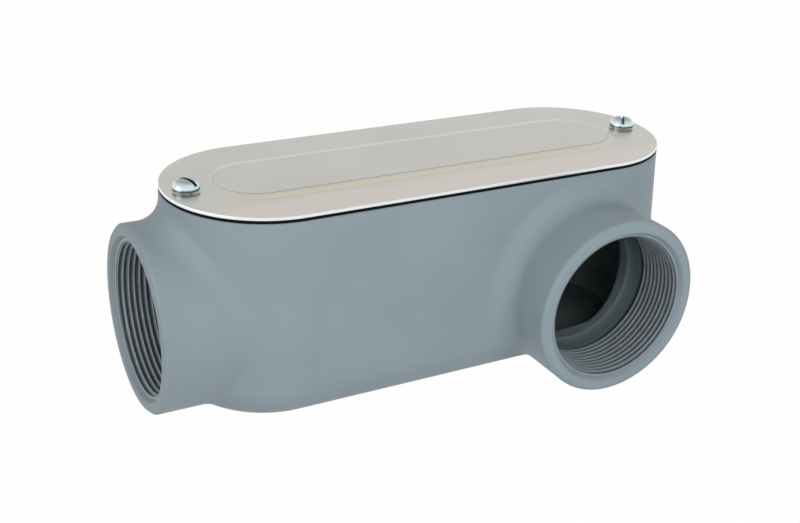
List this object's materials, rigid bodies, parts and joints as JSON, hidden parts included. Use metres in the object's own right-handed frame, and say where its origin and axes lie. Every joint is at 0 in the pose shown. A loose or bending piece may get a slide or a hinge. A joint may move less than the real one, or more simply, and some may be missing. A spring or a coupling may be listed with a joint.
{
  "type": "conduit body",
  "caption": "Ell conduit body: obround cast housing with a threaded end hub and a threaded side hub at right angles, closed by a gasketed, screwed-down sheet cover.",
  "frame": {"origin": "centre of the obround flat back of the casting, where it rests or sits against a wall", "axes": "+Z out of the back towards the cover; +X along the body from the end hub to the far end, so the end hub opens towards -X; the side hub near the far end opens towards -Y"},
  "size_m": [0.2289, 0.1077, 0.0891],
  "materials": {
    "painted_casting": "die-cast aluminium under grey-blue baked enamel, satin",
    "black_rubber": "die-cut black neoprene sheet",
    "sheet_aluminium": "bare stamped aluminium sheet, satin mill finish",
    "zinc_plated_steel": "bright zinc plate, clear-blue passivated"
  },
  "bodies": {
    "root": {"body_casting": "painted_casting", "cover_gasket": "black_rubber", "cover_plate": "sheet_aluminium", "end_cover_screw": "zinc_plated_steel", "far_cover_screw": "zinc_plated_steel"}
  },
  "joints": []
}
